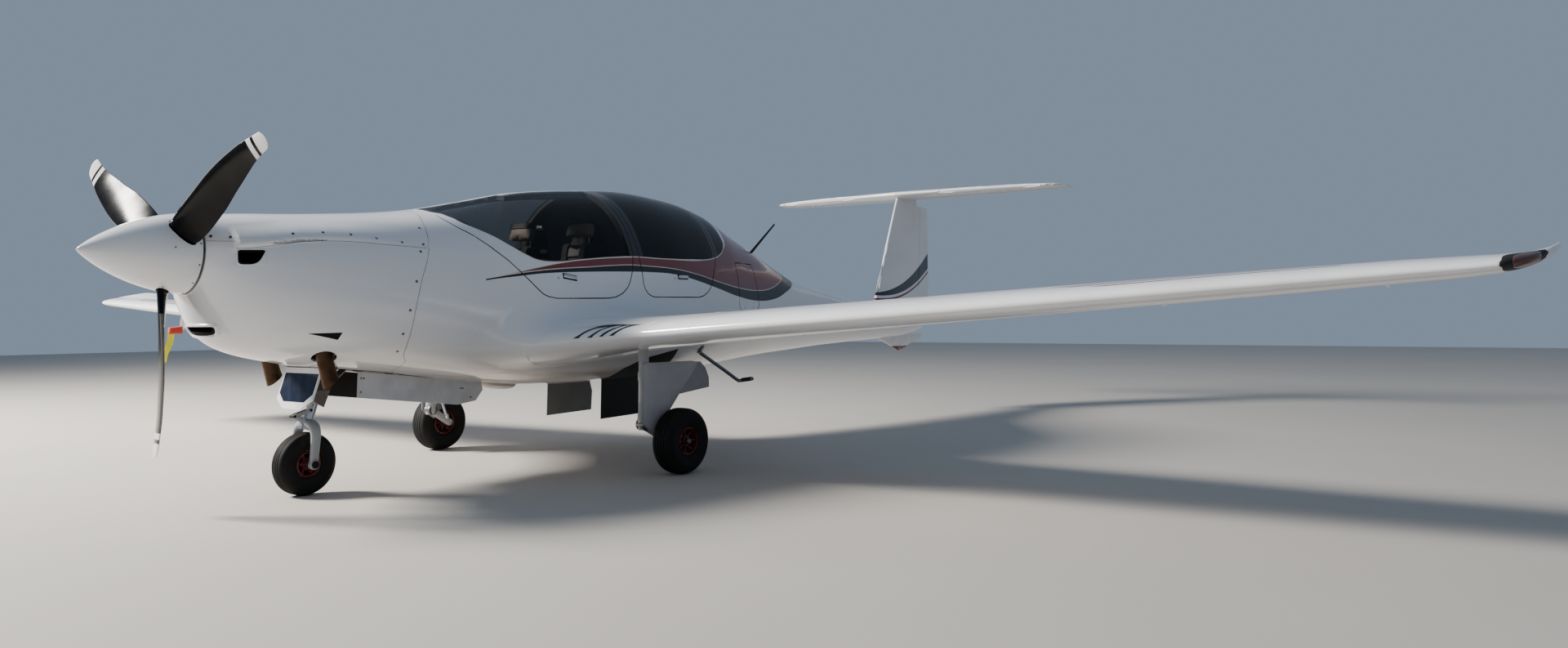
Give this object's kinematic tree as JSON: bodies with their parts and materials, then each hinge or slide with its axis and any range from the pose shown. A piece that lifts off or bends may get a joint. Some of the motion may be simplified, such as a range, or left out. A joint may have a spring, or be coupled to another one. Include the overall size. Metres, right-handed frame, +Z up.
{
  "type": "single-engine light aircraft",
  "caption": "Low-wing four-seat light aircraft with a T-tail, a three-blade propeller, gull-wing cabin doors and its landing gear down.",
  "frame": {"origin": "on the ground, under the middle of the whole aircraft's length and span", "axes": "+X towards the aircraft's left (port) wing tip, -Y towards the nose, +Z up"},
  "size_m": [10.86, 8.07, 2.1647],
  "materials": {
    "paint_white": "gloss",
    "tinted_glass": "polished",
    "blade_black": "satin",
    "alloy": "satin",
    "exhaust_steel": "satin",
    "tyre_rubber": "matte",
    "hub_red": "gloss",
    "engine_metal": "matte",
    "seat_leather": "satin",
    "panel_black": "matte",
    "door_grey": "satin",
    "fitting_grey": "satin"
  },
  "bodies": {
    "airframe": {"fuselage": "paint_white", "belly": "paint_white", "tail_boom": "paint_white", "cabin_floor": "door_grey", "rear_quarter_glass": "tinted_glass", "rear_window_right": "tinted_glass", "cowl_upper": "paint_white", "cowl_lower": "paint_white", "engine": "engine_metal", "exhaust_left": "exhaust_steel", "exhaust_right": "exhaust_steel", "wing_left": "paint_white", "wing_right": "paint_white", "fin": "paint_white", "tailplane": "paint_white", "ventral_fin": "paint_white", "nose_leg": "alloy", "nose_plate_door": "paint_white", "nose_bay_door_left": "paint_white", "nose_bay_door_right": "paint_white", "main_leg_left": "alloy", "main_leg_right": "alloy", "leg_door_left": "paint_white", "leg_door_right": "paint_white", "belly_door_left": "door_grey", "belly_door_right": "door_grey", "front_seat_left": "seat_leather", "front_seat_right": "seat_leather", "rear_bench": "seat_leather", "instrument_panel": "panel_black", "console": "panel_black", "boarding_step": "fitting_grey", "aerial": "panel_black", "air_probe": "fitting_grey"},
    "propeller": {"spinner": "paint_white", "propeller_hub": "alloy", "propeller_blade_bottom": "blade_black", "propeller_blade_upper_left": "blade_black", "propeller_blade_upper_right": "blade_black"},
    "nose_steering_fork": {"nose_fork": "alloy"},
    "nose_wheel": {"tyre_nose": "tyre_rubber", "hub_nose": "hub_red"},
    "main_wheel_left": {"tyre_left": "tyre_rubber", "hub_left": "hub_red"},
    "main_wheel_right": {"tyre_right": "tyre_rubber", "hub_right": "hub_red"},
    "left_front_door": {"front_door_left": "paint_white", "front_door_glass_left": "tinted_glass"},
    "right_front_door": {"front_door_right": "paint_white", "front_door_glass_right": "tinted_glass"},
    "left_rear_door": {"rear_door": "paint_white", "rear_door_glass": "tinted_glass"},
    "baggage_lid": {"baggage_door": "paint_white"},
    "left_flap": {"flap_left": "paint_white"},
    "right_flap": {"flap_right": "paint_white"},
    "left_aileron": {"aileron_left": "paint_white"},
    "right_aileron": {"aileron_right": "paint_white"},
    "rudder_panel": {"rudder": "paint_white"},
    "elevator_panel": {"elevator": "paint_white"}
  },
  "joints": [
    {"name": "propeller_spin", "type": "hinge", "parent": "airframe", "child": "propeller", "pos_m": [0, -3.643, 1.229], "axis": [0, 1, 0], "continuous": true},
    {"name": "nose_steering", "type": "hinge", "parent": "airframe", "child": "nose_steering_fork", "pos_m": [0, -2.895, 0.33], "axis": [0, 0.28, 0.96], "range_deg": [-30, 30]},
    {"name": "nose_wheel_spin", "type": "hinge", "parent": "nose_steering_fork", "child": "nose_wheel", "pos_m": [0, -2.892, 0.162], "axis": [1, 0, 0], "continuous": true},
    {"name": "left_wheel_spin", "type": "hinge", "parent": "airframe", "child": "main_wheel_left", "pos_m": [1.12, -1.189, 0.19], "axis": [1, 0, 0], "continuous": true},
    {"name": "right_wheel_spin", "type": "hinge", "parent": "airframe", "child": "main_wheel_right", "pos_m": [-1.12, -1.189, 0.19], "axis": [1, 0, 0], "continuous": true},
    {"name": "left_front_door_hinge", "type": "hinge", "parent": "airframe", "child": "left_front_door", "pos_m": [0.0885, -1.075, 1.7445], "axis": [-0.0526, -0.9915, -0.119], "range_deg": [0, 78]},
    {"name": "right_front_door_hinge", "type": "hinge", "parent": "airframe", "child": "right_front_door", "pos_m": [-0.0885, -1.075, 1.7445], "axis": [-0.0526, 0.9915, 0.119], "range_deg": [0, 78]},
    {"name": "left_rear_door_hinge", "type": "hinge", "parent": "airframe", "child": "left_rear_door", "pos_m": [0.0885, -0.635, 1.7735], "axis": [0, -1, 0], "range_deg": [0, 75]},
    {"name": "baggage_lid_hinge", "type": "hinge", "parent": "airframe", "child": "baggage_lid", "pos_m": [0.3642, 0.395, 1.3135], "axis": [0.2494, -0.9684, 0], "range_deg": [0, 75]},
    {"name": "left_flap_hinge", "type": "hinge", "parent": "airframe", "child": "left_flap", "pos_m": [0.66, -0.7318, 0.7877], "axis": [-0.9927, 0.101, -0.0663], "range_deg": [0, 35]},
    {"name": "right_flap_hinge", "type": "hinge", "parent": "airframe", "child": "right_flap", "pos_m": [-0.66, -0.7318, 0.7877], "axis": [-0.9927, -0.101, 0.0663], "range_deg": [0, 35]},
    {"name": "left_aileron_hinge", "type": "hinge", "parent": "airframe", "child": "left_aileron", "pos_m": [2.96, -0.9661, 0.9411], "axis": [-0.9926, 0.105, -0.0614], "range_deg": [-18, 18]},
    {"name": "right_aileron_hinge", "type": "hinge", "parent": "airframe", "child": "right_aileron", "pos_m": [-2.96, -0.9661, 0.9411], "axis": [-0.9926, -0.105, 0.0614], "range_deg": [-18, 18]},
    {"name": "rudder_hinge", "type": "hinge", "parent": "airframe", "child": "rudder_panel", "pos_m": [0, 3.765, 1.105], "axis": [0, 0.0915, 0.9958], "range_deg": [-25, 25]},
    {"name": "elevator_hinge", "type": "hinge", "parent": "airframe", "child": "elevator_panel", "pos_m": [0, 3.78, 2.126], "axis": [-1, 0, 0], "range_deg": [-22, 15]}
  ],
  "couplings": [
    {"joint": "right_flap_hinge", "follows": "left_flap_hinge", "ratio": 1},
    {"joint": "right_aileron_hinge", "follows": "left_aileron_hinge", "ratio": -1}
  ]
}
